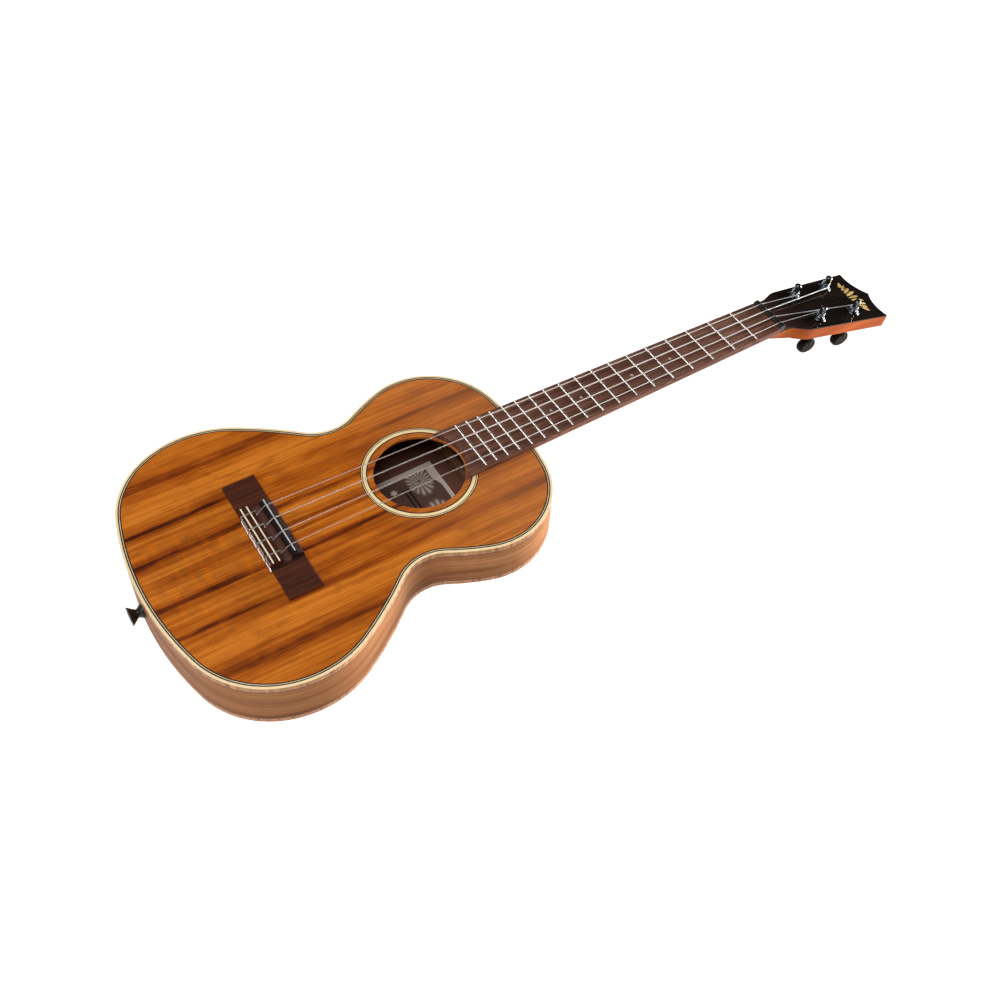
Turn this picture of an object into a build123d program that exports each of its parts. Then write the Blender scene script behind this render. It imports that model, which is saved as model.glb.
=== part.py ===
from build123d import *
from math import cos, radians, sin, sqrt
import os

os.makedirs("parts", exist_ok=True)

# Tenor ukulele with a shallow body, dimensions in millimetres.
# X runs from the tail to the headstock, Y to the bass side, Z out of the soundboard.
# The origin is on the outer face of the back, under the saddle line, so X of a fret is
# its distance from the saddle.

SCALE_LENGTH = 432.0
FRET_COUNT = 18
MARKER_FRETS = (5, 7, 10, 12)

# Body
TOP_Z = 40.0            # outer face of the soundboard
BACK_TILT = 1.4         # the body gets shallower towards the neck
TAIL_X = -101.7
OUTLINE_ARCS = (        # radius and sweep, from the tail; a negative sweep is the waist
    (236.0, 16.3),
    (68.0, 52.6),
    (74.0, 50.7),
    (280.0, 10.8),
    (31.7, -69.3),
    (180.0, 10.1),
    (53.2, 47.0),
    (60.0, 54.0),
)
TOP_THICKNESS = 2.0
BACK_THICKNESS = 2.2
SIDE_THICKNESS = 1.7
TOP_BINDING_HEIGHT = 4.7
BACK_BINDING_HEIGHT = 3.8
SIDE_LINE_HEIGHT = 0.6
PURFLING_DARK = ((0.0, 0.9), (1.4, 2.3))    # distances in from the binding
PURFLING_LIGHT = (0.9, 1.4)
INLAY_DEPTH = 1.0
LINING_WIDTH = 5.0
LINING_HEIGHT = 7.0

# Soundhole and rosette
HOLE_X = 109.8
HOLE_RADIUS = 33.3
ROSETTE_DARK = ((37.4, 38.3), (40.7, 41.3), (41.8, 42.5))
ROSETTE_LIGHT = ((38.3, 40.7), (41.3, 41.8))

# Blocks, braces and label inside the body
NECK_BLOCK_LENGTH = 30.0
NECK_BLOCK_WIDTH = 56.0
TAIL_BLOCK_LENGTH = 14.0
TAIL_BLOCK_WIDTH = 44.0
BRACE_WIDTH = 5.0
BRACE_HEIGHT = 7.0
TOP_BRACES_X = (60.0, 152.0)
FAN_BRACES = ((0.0, 0.0), (24.0, 8.0), (-24.0, -8.0))   # Y and angle
BACK_BRACES_X = (-55.0, 48.0, 150.0)
LABEL_SIZE = (63.0, 62.0)
LABEL_X = 104.0
LABEL_THICKNESS = 0.25

# Bridge and saddle
BRIDGE_REAR_X = -18.5
BRIDGE_FRONT_X = 6.0
BRIDGE_WIDTH = 108.8
WING_HEIGHT = 3.0
CENTRE_WIDTH = 52.6
TIE_BLOCK_FRONT_X = -9.0
TIE_BLOCK_HEIGHT = 8.0
TROUGH_HEIGHT = 3.2
SADDLE_BLOCK_HEIGHT = 7.0
TRIM_X = (-16.4, -11.9)
TRIM_WIDTH = 1.0
SADDLE_WIDTH = 50.4
SADDLE_THICKNESS = 2.0
SADDLE_TOP = 9.5
TIE_HOLE_Z = TOP_Z + 4.6

# Neck, fretboard and nut
NUT_WIDTH = 35.0
WIDTH_AT_JOINT = 44.5   # at the fourteenth fret, where the neck meets the body
BOARD_THICKNESS = 4.4
BOARD_END_RADIUS = 34.2
FRET_CROWN_WIDTH = 2.0
FRET_CROWN_HEIGHT = 0.8
FRET_TANG = (0.6, 1.6)
FRET_INSET = 0.9        # the fret ends stop short of the board's edge
NUT_THICKNESS = 4.5
NUT_LENGTH = 34.4
NUT_TOP_Z = TOP_Z + 6.5
NUT_STRING_Z = TOP_Z + 6.0
NECK_DEPTH = 14.5
MARKER_RADIUS = 1.2

# Headstock, laid out on its own sloping face
HEAD_TILT = 13.3
HEAD_FACE_Z = 44.46     # height of the face at the nut line
HEAD_THICKNESS = 11.0
VENEER_THICKNESS = 1.0
SLAB_START = 15.0       # from here on the headstock has its full flat thickness
THROAT_START_X = 424.0
HEAD_TIP = 124.0
HEAD_CORNER = (117.5, 29.8)

# Friction pegs: name, distance from the nut line, offset from the centreline
PEGS = (
    ("g", 46.2, 16.2),
    ("c", 85.6, 18.0),
    ("e", 87.0, -16.3),
    ("a", 47.0, -15.0),
)
POST_RADIUS = 2.9
POST_WAIST_RADIUS = 2.4
POST_TOP = 11.3
POST_CLEARANCE = 0.05
PEG_HOLE_RADIUS = 4.2
WASHER_RADIUS = 5.6
WASHER_THICKNESS = 0.8
COLLAR_RADIUS = 7.8
COLLAR_THICKNESS = 3.0
BUTTON_WIDTH = 17.5
BUTTON_LENGTH = 14.5
BUTTON_THICKNESS = 7.0
BUTTON_CENTRE = -27.6
WRAP_HEIGHT = 3.6

# Strings: name, radius, Y at the saddle, Y at the nut
STRINGS = (
    ("g", 0.35, 19.4, 12.4),
    ("c", 0.5, 6.5, 4.3),
    ("e", 0.41, -6.5, -4.3),
    ("a", 0.32, -19.4, -12.4),
)

CORD_BEND = 0.8

# Strap button on the tail
STRAP_Z = 21.5
STRAP_LENGTH = 9.8
STRAP_HEAD_RADIUS = 7.1

BACK = Plane(
    origin=(0, 0, 0),
    x_dir=(cos(radians(BACK_TILT)), 0, sin(radians(BACK_TILT))),
    z_dir=(-sin(radians(BACK_TILT)), 0, cos(radians(BACK_TILT))),
)
HEAD = Plane(
    origin=(SCALE_LENGTH, 0, HEAD_FACE_Z),
    x_dir=(cos(radians(HEAD_TILT)), 0, -sin(radians(HEAD_TILT))),
    z_dir=(sin(radians(HEAD_TILT)), 0, cos(radians(HEAD_TILT))),
)
NUT_REAR_X = SCALE_LENGTH + NUT_THICKNESS


def fret_x(number):
    return SCALE_LENGTH / 2 ** (number / 12)


def board_half_width(x):
    taper = (WIDTH_AT_JOINT - NUT_WIDTH) / (SCALE_LENGTH - fret_x(14))
    return (NUT_WIDTH + (SCALE_LENGTH - x) * taper) / 2


def body_face(inset):
    """Body outline, moved inwards by inset."""
    with BuildSketch() as face:
        with BuildLine():
            start = (TAIL_X + inset, 0)
            tangent = (0, 1)
            for radius, sweep in OUTLINE_ARCS:
                moved = radius - inset if sweep > 0 else radius + inset
                arc = JernArc(start=start, tangent=tangent, radius=moved, arc_size=-sweep)
                start = arc @ 1
                tangent = arc % 1
            mirror(about=Plane.XZ)
            TangentArc(start, (start.X, -start.Y), tangent=tangent)
        make_face()
    return face.sketch


def body_ring(outer, inner, low, high):
    """Band that follows the body outline between two insets and two heights."""
    with BuildPart() as band:
        with BuildSketch(Plane.XY.offset(low)):
            add(body_face(outer))
            add(body_face(inner), mode=Mode.SUBTRACT)
        extrude(amount=high - low)
    return band.part


def body_fill(inset, low, high):
    with BuildPart() as fill:
        with BuildSketch(Plane.XY.offset(low)):
            add(body_face(inset))
        extrude(amount=high - low)
    return fill.part


def back_layer(low, high):
    """Everything between two distances above the sloping plane of the back."""
    with BuildPart() as layer:
        with BuildSketch(BACK.offset(low)):
            with Locations((100, 0)):
                Rectangle(700, 400)
        extrude(amount=high - low)
    return layer.part


def box(x_min, x_max, y_min, y_max, z_min, z_max):
    with BuildPart() as block:
        with Locations((x_min, y_min, z_min)):
            Box(x_max - x_min, y_max - y_min, z_max - z_min, align=(Align.MIN,) * 3)
    return block.part


def head_face():
    """Outline of the headstock face: flared sides and a tip with a central peak."""
    with BuildSketch() as face:
        with BuildLine():
            flare = Bezier((2, 17.3), (18, 17.5), (20, 24.6), (32, 25.3))
            side = Line(flare @ 1, HEAD_CORNER)
            ThreePointArc(side @ 1, (HEAD_CORNER[0] - 0.4, 15), (HEAD_TIP, 0))
            mirror(about=Plane.XZ)
            Line((2, 17.3), (2, -17.3))
        make_face()
    return face.sketch


def ornament():
    """Plain spray of leaves either side of a lozenge, inlaid across the headstock."""
    with BuildSketch() as spray:
        with BuildLine():
            Polyline((98.2, 0), (104.5, 1.9), (110.8, 0), (104.5, -1.9), close=True)
        make_face()
        for number in range(4):
            for side in (-1, 1):
                place = Location(
                    (104.9 - 0.45 * number, side * (4.5 + 4.1 * number)), side * (16 + 11 * number)
                )
                with Locations(place):
                    Ellipse(6.2 - 0.85 * number, 1.6)
    return spray.sketch


def head_point(along, across, above):
    """Point given on the headstock's own axes, in the frame of the whole part."""
    return HEAD.from_local_coords(Vector(along, across, above))


def strand(points, radius):
    """Cord of round section along the points, with rounded corners."""
    with BuildPart() as cord:
        with BuildLine() as path:
            FilletPolyline(*points, radius=CORD_BEND)
        with BuildSketch(Plane(origin=path.line @ 0, z_dir=path.line % 0)):
            Circle(radius)
        sweep()
    return cord.part


def save(part, label):
    part.label = label
    export_step(part, "parts/" + label + ".step")


# Levels that meet at the edge of the body
BINDING_Z = TOP_Z - TOP_BINDING_HEIGHT
LINE_Z = BINDING_Z - SIDE_LINE_HEIGHT
UNDER_TOP = TOP_Z - TOP_THICKNESS
PURFLING_INSET = SIDE_THICKNESS + PURFLING_DARK[-1][1]
LINING_INSET = SIDE_THICKNESS + LINING_WIDTH
STRAP_BORE = 2.0

# Strings, made first because the nut, saddle and bridge are cut to them
string_parts = {}
for number, (name, radius, saddle_y, nut_y) in enumerate(STRINGS):
    peg_name, along, across = [peg for peg in PEGS if peg[0] == name][0]
    inward = -1 if across > 0 else 1
    reach = POST_WAIST_RADIUS + 3 * radius + 0.3
    tie_x = BRIDGE_REAR_X - radius - 0.05
    over_z = TOP_Z + TIE_BLOCK_HEIGHT + radius + 0.05
    with BuildPart() as string:
        add(
            strand(
                (
                    head_point(along - 0.5, across + inward * reach, WRAP_HEIGHT),
                    (SCALE_LENGTH + 2.5, nut_y, NUT_STRING_Z),
                    (-0.4, saddle_y, TOP_Z + SADDLE_TOP + radius - 0.1),
                    (TIE_BLOCK_FRONT_X + radius, saddle_y, TIE_HOLE_Z),
                    (tie_x, saddle_y, TIE_HOLE_Z),
                    (tie_x, saddle_y, over_z),
                    (TIE_BLOCK_FRONT_X + 1.0, saddle_y, over_z),
                    (TIE_BLOCK_FRONT_X + 1.6, saddle_y, TIE_HOLE_Z + 1.0),
                ),
                radius,
            )
        )
        with Locations((TIE_BLOCK_FRONT_X + 1.5, saddle_y, TIE_HOLE_Z + 0.6)):
            Sphere(2 * radius + 0.3)
        tail_end = max(saddle_y - 10.5, -CENTRE_WIDTH / 2)
        with BuildSketch(Plane(origin=(tie_x, saddle_y, TOP_Z + 6.6), z_dir=(0, -1, 0))):
            Circle(radius - 0.01)
        extrude(amount=saddle_y - tail_end)
    string_parts[name] = string.part
    save(string.part, "string_" + name)

# Body shell
with BuildPart() as sides:
    add(body_ring(0, SIDE_THICKNESS, -20, LINE_Z))
    add(back_layer(-40, BACK_BINDING_HEIGHT + SIDE_LINE_HEIGHT), mode=Mode.SUBTRACT)
    with Locations((TAIL_X, 0, STRAP_Z)):
        Cylinder(STRAP_BORE, 20, rotation=(0, 90, 0), mode=Mode.SUBTRACT)

with BuildPart() as side_bass:
    add(sides.part)
    add(box(-300, 400, -300, 0, -50, 100), mode=Mode.SUBTRACT)
save(side_bass.part, "side_bass")

with BuildPart() as side_treble:
    add(sides.part)
    add(box(-300, 400, 0, 300, -50, 100), mode=Mode.SUBTRACT)
save(side_treble.part, "side_treble")

with BuildPart() as top_binding:
    add(body_ring(0, SIDE_THICKNESS, BINDING_Z, TOP_Z))
save(top_binding.part, "top_binding")

with BuildPart() as back_binding:
    add(body_ring(0, SIDE_THICKNESS, -20, 30))
    add(back_layer(0, BACK_BINDING_HEIGHT), mode=Mode.INTERSECT)
save(back_binding.part, "back_binding")

with BuildPart() as lower_line:
    add(body_ring(0, SIDE_THICKNESS, -20, 30))
    add(
        back_layer(BACK_BINDING_HEIGHT, BACK_BINDING_HEIGHT + SIDE_LINE_HEIGHT),
        mode=Mode.INTERSECT,
    )

with BuildPart() as side_lines:
    add(body_ring(0, SIDE_THICKNESS, LINE_Z, BINDING_Z))
    add(lower_line.part)
save(side_lines.part, "side_lines")

with BuildPart() as purfling_dark:
    for outer, inner in PURFLING_DARK:
        add(
            body_ring(
                SIDE_THICKNESS + outer, SIDE_THICKNESS + inner, TOP_Z - INLAY_DEPTH, TOP_Z
            )
        )
save(purfling_dark.part, "purfling_dark")

with BuildPart() as purfling_light:
    outer, inner = PURFLING_LIGHT
    add(body_ring(SIDE_THICKNESS + outer, SIDE_THICKNESS + inner, TOP_Z - INLAY_DEPTH, TOP_Z))
save(purfling_light.part, "purfling_light")

with BuildPart() as soundboard:
    add(body_fill(SIDE_THICKNESS, UNDER_TOP, TOP_Z - INLAY_DEPTH))
    add(body_fill(PURFLING_INSET, TOP_Z - INLAY_DEPTH, TOP_Z))
    with BuildSketch(Plane.XY.offset(TOP_Z)):
        with Locations((HOLE_X, 0)):
            Circle(ROSETTE_DARK[-1][1])
            Circle(ROSETTE_DARK[0][0], mode=Mode.SUBTRACT)
    extrude(amount=-INLAY_DEPTH, mode=Mode.SUBTRACT)
    with BuildSketch(Plane.XY.offset(TOP_Z)):
        with Locations((HOLE_X, 0)):
            Circle(HOLE_RADIUS)
    extrude(amount=-TOP_THICKNESS, mode=Mode.SUBTRACT)
save(soundboard.part, "soundboard")

for label, rings in (("rosette_dark", ROSETTE_DARK), ("rosette_light", ROSETTE_LIGHT)):
    with BuildPart() as rosette:
        for inner, outer in rings:
            with BuildSketch(Plane.XY.offset(TOP_Z)):
                with Locations((HOLE_X, 0)):
                    Circle(outer)
                    Circle(inner, mode=Mode.SUBTRACT)
            extrude(amount=-INLAY_DEPTH)
    save(rosette.part, label)

with BuildPart() as back_plate:
    add(body_fill(SIDE_THICKNESS, -20, 30))
    add(back_layer(0, BACK_THICKNESS), mode=Mode.INTERSECT)
save(back_plate.part, "back_plate")

# Inside the body
hollow = body_fill(SIDE_THICKNESS, -20, UNDER_TOP)
under_back = back_layer(-40, BACK_THICKNESS)
neck_block_box = box(
    195.7 - SIDE_THICKNESS - NECK_BLOCK_LENGTH, 260,
    -NECK_BLOCK_WIDTH / 2, NECK_BLOCK_WIDTH / 2, -20, 60,
)
tail_block_box = box(
    -200, TAIL_X + SIDE_THICKNESS + TAIL_BLOCK_LENGTH,
    -TAIL_BLOCK_WIDTH / 2, TAIL_BLOCK_WIDTH / 2, -20, 60,
)

with BuildPart() as neck_block:
    add(hollow)
    add(neck_block_box, mode=Mode.INTERSECT)
    add(under_back, mode=Mode.SUBTRACT)
save(neck_block.part, "neck_block")

with BuildPart() as tail_block:
    add(hollow)
    add(tail_block_box, mode=Mode.INTERSECT)
    add(under_back, mode=Mode.SUBTRACT)
    with Locations((TAIL_X, 0, STRAP_Z)):
        Cylinder(STRAP_BORE, 60, rotation=(0, 90, 0), mode=Mode.SUBTRACT)
save(tail_block.part, "tail_block")

with BuildPart() as top_lining:
    add(body_ring(SIDE_THICKNESS, LINING_INSET, UNDER_TOP - LINING_HEIGHT, UNDER_TOP))
    add(neck_block_box, mode=Mode.SUBTRACT)
    add(tail_block_box, mode=Mode.SUBTRACT)
save(top_lining.part, "top_lining")

with BuildPart() as back_lining:
    add(body_ring(SIDE_THICKNESS, LINING_INSET, -20, 30))
    add(back_layer(BACK_THICKNESS, BACK_THICKNESS + LINING_HEIGHT), mode=Mode.INTERSECT)
    add(neck_block_box, mode=Mode.SUBTRACT)
    add(tail_block_box, mode=Mode.SUBTRACT)
save(back_lining.part, "back_lining")

with BuildPart() as bridge_plate:
    with BuildSketch(Plane.XY.offset(UNDER_TOP)):
        with Locations(((BRIDGE_REAR_X + BRIDGE_FRONT_X) / 2, 0)):
            RectangleRounded(32, BRIDGE_WIDTH - 6, 3)
    extrude(amount=-1.5)
save(bridge_plate.part, "bridge_plate")

with BuildPart() as soundboard_braces:
    with Locations(*[(x, 0, UNDER_TOP) for x in TOP_BRACES_X]):
        Box(BRACE_WIDTH, 250, BRACE_HEIGHT, align=(Align.CENTER, Align.CENTER, Align.MAX))
    for offset, angle in FAN_BRACES:
        with Locations(Location((-54, offset, UNDER_TOP), (0, 0, -angle))):
            Box(52, 4, 5, align=(Align.CENTER, Align.CENTER, Align.MAX))
    add(body_fill(LINING_INSET, -20, 60), mode=Mode.INTERSECT)
save(soundboard_braces.part, "soundboard_braces")

with BuildPart() as back_braces:
    for x in BACK_BRACES_X:
        add(box(x - BRACE_WIDTH / 2, x + BRACE_WIDTH / 2, -125, 125, -10, 30))
    add(back_layer(BACK_THICKNESS, BACK_THICKNESS + BRACE_HEIGHT), mode=Mode.INTERSECT)
    add(body_fill(LINING_INSET, -20, 60), mode=Mode.INTERSECT)
save(back_braces.part, "back_braces")

with BuildPart() as label:
    with BuildSketch(BACK.offset(BACK_THICKNESS)):
        with Locations((LABEL_X, 0)):
            Rectangle(*LABEL_SIZE)
    extrude(amount=LABEL_THICKNESS)
save(label.part, "label")

# Bridge with its tie block, trough and saddle block
with BuildPart() as bridge:
    with BuildSketch(Plane.XY.offset(TOP_Z)):
        with Locations(((BRIDGE_REAR_X + BRIDGE_FRONT_X) / 2, 0)):
            Rectangle(BRIDGE_FRONT_X - BRIDGE_REAR_X, BRIDGE_WIDTH)
    extrude(amount=WING_HEIGHT)
    fillet(bridge.faces().sort_by(Axis.Z)[-1].edges(), 0.5)
    with BuildSketch(Plane.XZ.offset(-CENTRE_WIDTH / 2)) as side_view:
        with BuildLine():
            Polyline(
                (BRIDGE_REAR_X, TOP_Z),
                (BRIDGE_REAR_X, TOP_Z + TIE_BLOCK_HEIGHT),
                (TIE_BLOCK_FRONT_X, TOP_Z + TIE_BLOCK_HEIGHT),
                (TIE_BLOCK_FRONT_X, TOP_Z + TROUGH_HEIGHT),
                (-4.4, TOP_Z + TROUGH_HEIGHT + 0.4),
                (-2.8, TOP_Z + SADDLE_BLOCK_HEIGHT - 0.8),
                (-2.0, TOP_Z + SADDLE_BLOCK_HEIGHT),
                (2.0, TOP_Z + SADDLE_BLOCK_HEIGHT),
                (BRIDGE_FRONT_X - 0.6, TOP_Z + SADDLE_BLOCK_HEIGHT - 2.2),
                (BRIDGE_FRONT_X, TOP_Z + SADDLE_BLOCK_HEIGHT - 3.0),
                (BRIDGE_FRONT_X, TOP_Z),
                close=True,
            )
        make_face()
    extrude(amount=CENTRE_WIDTH)
    with Locations((0, 0, TOP_Z + SADDLE_BLOCK_HEIGHT)):
        Box(SADDLE_THICKNESS, SADDLE_WIDTH, 6, mode=Mode.SUBTRACT)
    with Locations(*[(x, 0, TOP_Z + TIE_BLOCK_HEIGHT) for x in TRIM_X]):
        Box(TRIM_WIDTH, CENTRE_WIDTH, 2, mode=Mode.SUBTRACT)
    for cord in string_parts.values():
        add(cord, mode=Mode.SUBTRACT)
save(bridge.part, "bridge")

with BuildPart() as tie_block_trim:
    with Locations(*[(x, 0, TOP_Z + TIE_BLOCK_HEIGHT) for x in TRIM_X]):
        Box(
            TRIM_WIDTH, CENTRE_WIDTH, 1,
            align=(Align.CENTER, Align.CENTER, Align.MAX),
        )
save(tie_block_trim.part, "tie_block_trim")

with BuildPart() as saddle:
    with Locations((0, 0, TOP_Z + SADDLE_TOP)):
        Box(
            SADDLE_THICKNESS, SADDLE_WIDTH, SADDLE_TOP - SADDLE_BLOCK_HEIGHT + 3,
            align=(Align.CENTER, Align.CENTER, Align.MAX),
        )
    fillet(saddle.faces().sort_by(Axis.Z)[-1].edges().filter_by(Axis.Y), 0.9)
    for cord in string_parts.values():
        add(cord, mode=Mode.SUBTRACT)
save(saddle.part, "saddle")

# Neck: shaft, heel and headstock in one piece of wood
def neck_section(half, depth):
    """Soft V section of the neck."""
    side = [
        (half, 0), (half - 0.18 * depth, -0.28 * depth), (half - 0.375 * depth, -0.56 * depth),
        (0.46 * half, -0.80 * depth), (0.24 * half, -0.95 * depth),
    ]
    with BuildSketch() as section:
        with BuildLine():
            Spline(*side, (0, -depth), *[(-y, z) for y, z in reversed(side)])
            Line((-half, 0), (half, 0))
        make_face()
    return section.sketch


with BuildPart() as shaft:
    for x, depth in ((178.0, NECK_DEPTH + 1.5), (464.0, NECK_DEPTH)):
        with BuildSketch(Plane(origin=(x, 0, TOP_Z), x_dir=(0, 1, 0), z_dir=(1, 0, 0))):
            add(neck_section(board_half_width(x), depth))
    loft()

with BuildPart() as heel:
    for z, length, half_width in ((38, 62, 21.0), (27, 27, 16.0), (15, 17, 13.5), (0, 13, 11.5)):
        with BuildSketch(Plane.XY.offset(z)):
            with Locations((186, 0)):
                Ellipse(length, half_width)
                Rectangle(120, 80, align=(Align.MIN, Align.CENTER), mode=Mode.INTERSECT)
    loft()

# Between the round neck and the flat headstock the section changes gradually
with BuildPart() as throat:
    with BuildSketch(Plane(origin=(THROAT_START_X, 0, TOP_Z), x_dir=(0, 1, 0), z_dir=(1, 0, 0))):
        add(neck_section(board_half_width(THROAT_START_X) - 0.7, NECK_DEPTH - 1.2))
    with BuildSketch(
        Plane(origin=head_point(SLAB_START + 1, 0, 0), x_dir=(0, 1, 0), z_dir=HEAD.x_dir)
    ):
        with BuildLine():
            Spline(
                (23.5, 0), (23.4, -4.0), (22.4, -8.6), (18.5, -10.6), (9.0, -HEAD_THICKNESS),
                (0, -HEAD_THICKNESS),
                (-9.0, -HEAD_THICKNESS), (-18.5, -10.6), (-22.4, -8.6), (-23.4, -4.0), (-23.5, 0),
            )
            Line((-23.5, 0), (23.5, 0))
        make_face()
    loft()
    with BuildSketch(HEAD.offset(-40)):
        add(head_face())
        with BuildLine():
            Polyline((-50, 18.6), (-5, 17.5), (2, 17.3), (2, -17.3), (-5, -17.5), (-50, -18.6), close=True)
        make_face()
    extrude(amount=80, mode=Mode.INTERSECT)

with BuildPart() as neck:
    add(shaft.part)
    add(heel.part)
    add(throat.part)
    with BuildSketch(HEAD.offset(-HEAD_THICKNESS)):
        add(head_face())
        with Locations((SLAB_START, 0)):
            Rectangle(200, 100, align=(Align.MAX, Align.CENTER), mode=Mode.SUBTRACT)
    extrude(amount=HEAD_THICKNESS - VENEER_THICKNESS)
    add(box(300, NUT_REAR_X, -60, 60, TOP_Z, 80), mode=Mode.SUBTRACT)
    with BuildSketch(HEAD.offset(-VENEER_THICKNESS)):
        Rectangle(200, 100)
    extrude(amount=40, mode=Mode.SUBTRACT)
    add(body_fill(0, -20, 60), mode=Mode.SUBTRACT)
    add(back_layer(-40, 0), mode=Mode.SUBTRACT)
    with BuildSketch(HEAD):
        with Locations(*[(along, across) for name, along, across in PEGS]):
            Circle(PEG_HOLE_RADIUS)
    extrude(amount=-40, mode=Mode.SUBTRACT)
save(neck.part, "neck")

with BuildPart() as headstock_veneer:
    with BuildSketch(HEAD):
        add(head_face())
        with Locations(*[(along, across) for name, along, across in PEGS]):
            Circle(PEG_HOLE_RADIUS, mode=Mode.SUBTRACT)
    extrude(amount=-VENEER_THICKNESS)
    add(box(300, NUT_REAR_X, -60, 60, 0, 80), mode=Mode.SUBTRACT)
    with BuildSketch(HEAD):
        add(ornament())
    extrude(amount=-0.6, mode=Mode.SUBTRACT)
save(headstock_veneer.part, "headstock_veneer")

with BuildPart() as headstock_inlay:
    with BuildSketch(HEAD):
        add(ornament())
    extrude(amount=-0.6)
save(headstock_inlay.part, "headstock_inlay")

with BuildPart() as fretboard:
    with BuildSketch(Plane.XY.offset(TOP_Z)):
        with BuildLine():
            Polyline(
                (SCALE_LENGTH, board_half_width(SCALE_LENGTH)),
                (HOLE_X, board_half_width(HOLE_X)),
                (HOLE_X, -board_half_width(HOLE_X)),
                (SCALE_LENGTH, -board_half_width(SCALE_LENGTH)),
                close=True,
            )
        make_face()
        with Locations((HOLE_X, 0)):
            Circle(BOARD_END_RADIUS, mode=Mode.SUBTRACT)
    extrude(amount=BOARD_THICKNESS)
    for number in range(1, FRET_COUNT + 1):
        x = fret_x(number)
        with Locations((x, 0, TOP_Z + BOARD_THICKNESS)):
            Box(
                FRET_TANG[0], 2 * (board_half_width(x) - FRET_INSET), FRET_TANG[1],
                align=(Align.CENTER, Align.CENTER, Align.MAX), mode=Mode.SUBTRACT,
            )
    with BuildSketch(Plane.XY.offset(TOP_Z + BOARD_THICKNESS)):
        with Locations(*[((fret_x(n) + fret_x(n - 1)) / 2, 0) for n in MARKER_FRETS]):
            Circle(MARKER_RADIUS)
    extrude(amount=-INLAY_DEPTH, mode=Mode.SUBTRACT)
save(fretboard.part, "fretboard")

with BuildPart() as fret_markers:
    with BuildSketch(Plane.XY.offset(TOP_Z + BOARD_THICKNESS)):
        with Locations(*[((fret_x(n) + fret_x(n - 1)) / 2, 0) for n in MARKER_FRETS]):
            Circle(MARKER_RADIUS)
    extrude(amount=-INLAY_DEPTH)
save(fret_markers.part, "fret_markers")

with BuildPart() as frets:
    for number in range(1, FRET_COUNT + 1):
        x = fret_x(number)
        z = TOP_Z + BOARD_THICKNESS
        half = FRET_CROWN_WIDTH / 2
        with BuildSketch(Plane.XZ):
            with BuildLine():
                Line((x - half, z), (x + half, z))
                ThreePointArc((x - half, z), (x, z + FRET_CROWN_HEIGHT), (x + half, z))
            make_face()
            with Locations((x, z)):
                Rectangle(*FRET_TANG, align=(Align.CENTER, Align.MAX))
        extrude(amount=board_half_width(x) - FRET_INSET, both=True)
save(frets.part, "frets")

with BuildPart() as nut:
    add(box(SCALE_LENGTH, NUT_REAR_X, -NUT_LENGTH / 2, NUT_LENGTH / 2, TOP_Z, NUT_TOP_Z))
    fillet(nut.edges().filter_by(Axis.Y).sort_by(Axis.Z)[-2:], 0.8)
    for name, radius, saddle_y, nut_y in STRINGS:
        add(
            box(
                SCALE_LENGTH - 1, NUT_REAR_X + 1, nut_y - radius, nut_y + radius,
                NUT_STRING_Z, NUT_TOP_Z + 1,
            ),
            mode=Mode.SUBTRACT,
        )
    for cord in string_parts.values():
        add(cord, mode=Mode.SUBTRACT)
save(nut.part, "nut")

# Strap button and its screw
with BuildPart() as strap_button:
    with BuildSketch(Plane.XZ):
        with BuildLine():
            Polyline(
                (TAIL_X, STRAP_Z + STRAP_BORE),
                (TAIL_X, STRAP_Z + 5.2),
                (TAIL_X - 1.4, STRAP_Z + 5.0),
                (TAIL_X - 3.6, STRAP_Z + 3.2),
                (TAIL_X - 4.6, STRAP_Z + 3.1),
                (TAIL_X - STRAP_LENGTH, STRAP_Z + STRAP_HEAD_RADIUS),
                (TAIL_X - STRAP_LENGTH, STRAP_Z + 4.2),
                (TAIL_X - STRAP_LENGTH + 1.8, STRAP_Z + 4.2),
                (TAIL_X - STRAP_LENGTH + 1.8, STRAP_Z + STRAP_BORE),
                close=True,
            )
        make_face()
    revolve(axis=Axis((0, 0, STRAP_Z), (1, 0, 0)))
    add(body_fill(0, -20, 60), mode=Mode.SUBTRACT)
save(strap_button.part, "strap_button")

with BuildPart() as strap_button_screw:
    with BuildSketch(Plane.XZ):
        with BuildLine():
            Polyline(
                (TAIL_X - STRAP_LENGTH + 0.3, STRAP_Z),
                (TAIL_X - STRAP_LENGTH + 0.3, STRAP_Z + 2.4),
                (TAIL_X - STRAP_LENGTH + 1.0, STRAP_Z + 3.7),
                (TAIL_X - STRAP_LENGTH + 1.8, STRAP_Z + 3.7),
                (TAIL_X - STRAP_LENGTH + 1.8, STRAP_Z + STRAP_BORE),
                (TAIL_X + 10.0, STRAP_Z + STRAP_BORE),
                (TAIL_X + 13.0, STRAP_Z),
                close=True,
            )
        make_face()
    revolve(axis=Axis((0, 0, STRAP_Z), (1, 0, 0)))
    with Locations((TAIL_X - STRAP_LENGTH + 0.3, 0, STRAP_Z)):
        Box(1.2, 4.0, 0.8, mode=Mode.SUBTRACT)
        Box(1.2, 0.8, 4.0, mode=Mode.SUBTRACT)
save(strap_button_screw.part, "strap_button_screw")

# Friction peg, built upright on its own axis with the headstock face at height 0
with BuildPart() as peg_washer:
    Cylinder(WASHER_RADIUS, WASHER_THICKNESS, align=(Align.CENTER, Align.CENTER, Align.MIN))
    chamfer(peg_washer.faces().sort_by(Axis.Z)[-1].edges(), 0.3)
    Cylinder(PEG_HOLE_RADIUS, 10, mode=Mode.SUBTRACT)

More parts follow.
